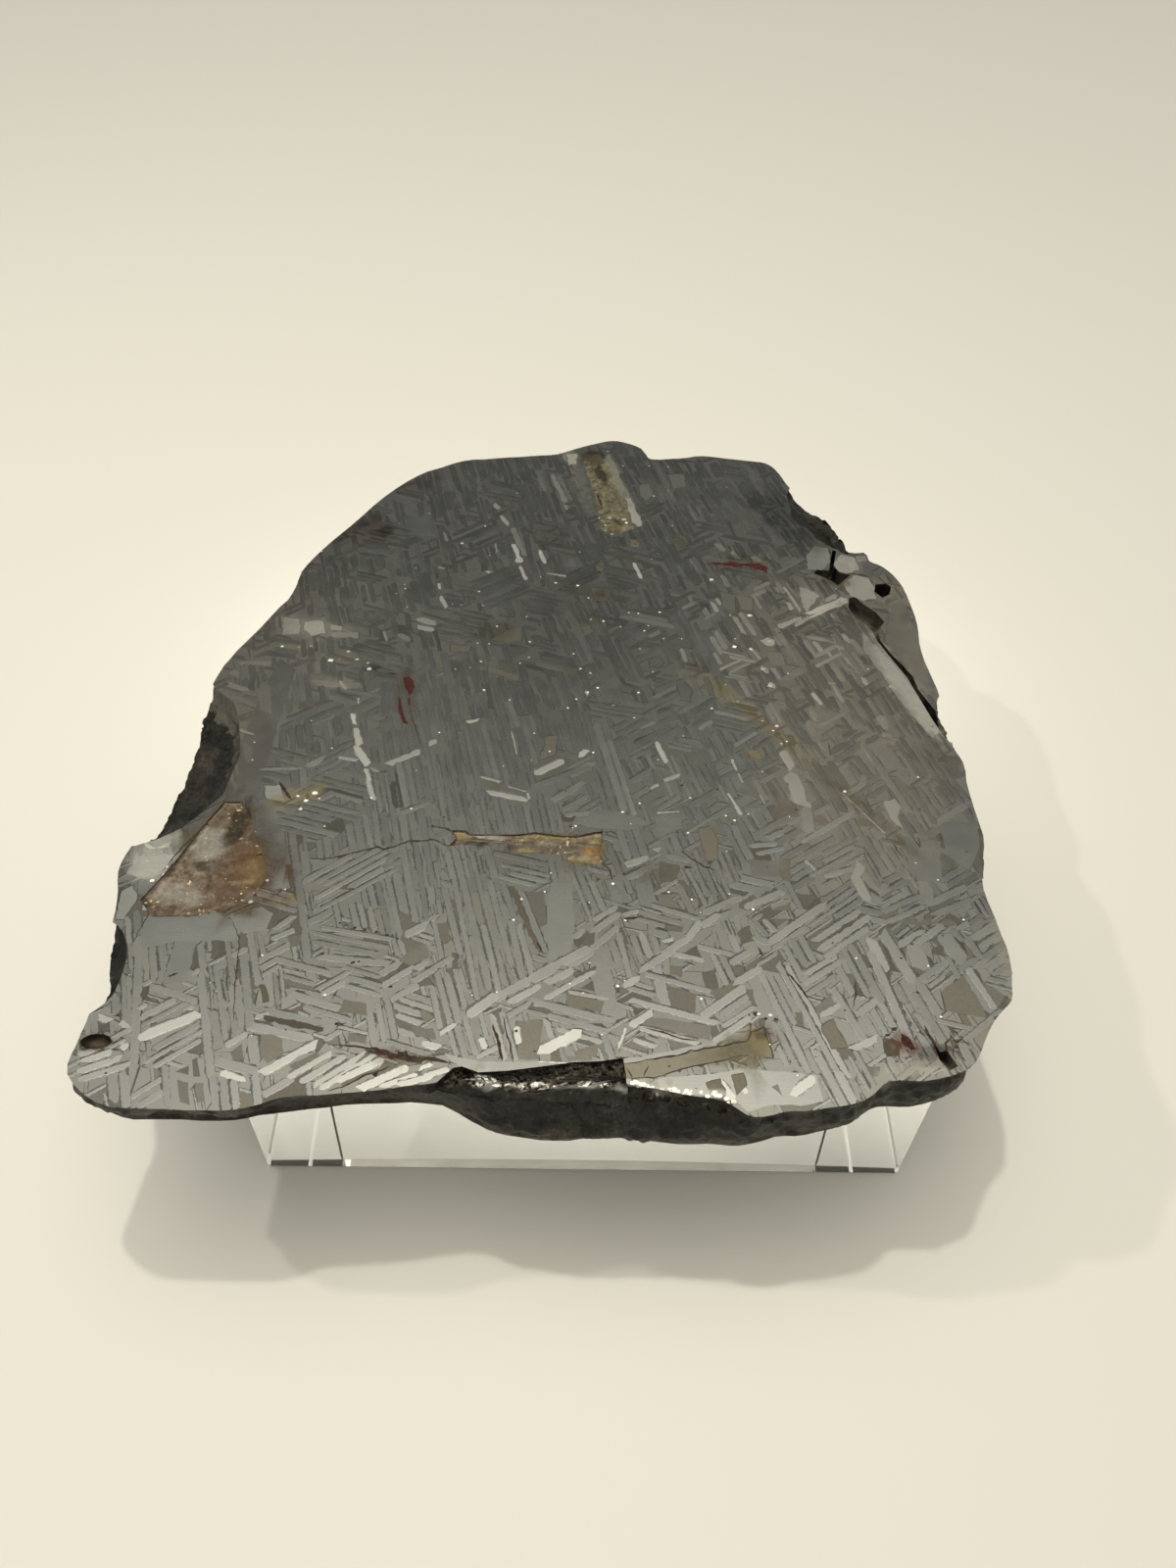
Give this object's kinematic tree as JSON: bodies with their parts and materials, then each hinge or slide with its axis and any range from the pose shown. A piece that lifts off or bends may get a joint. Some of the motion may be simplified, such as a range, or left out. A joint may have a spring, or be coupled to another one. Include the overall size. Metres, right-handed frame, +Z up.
{
  "type": "iron meteorite etched slice on a clear display block",
  "caption": "Flat sawn slice of an iron meteorite with an etched face, a rough natural rim, open cracks and inclusions, lying on a clear display block.",
  "frame": {"origin": "on the surface that the block stands on, under the middle of the slice's outline", "axes": "+Z up, square to the etched face; +Y towards the slice's narrow end, away from the picture's camera; +X to the picture's right, along the block's front face"},
  "size_m": [0.2921, 0.3445, 0.0853],
  "materials": {
    "meteoritic_iron": "sawn, polished and acid-etched nickel-iron with a crossing band pattern; the natural rim is dark, rough and lightly rusted",
    "clear_acrylic": "clear cast acrylic with polished faces and edges"
  },
  "bodies": {
    "root": {"meteorite_slice": "meteoritic_iron", "acrylic_block": "clear_acrylic"}
  },
  "joints": []
}
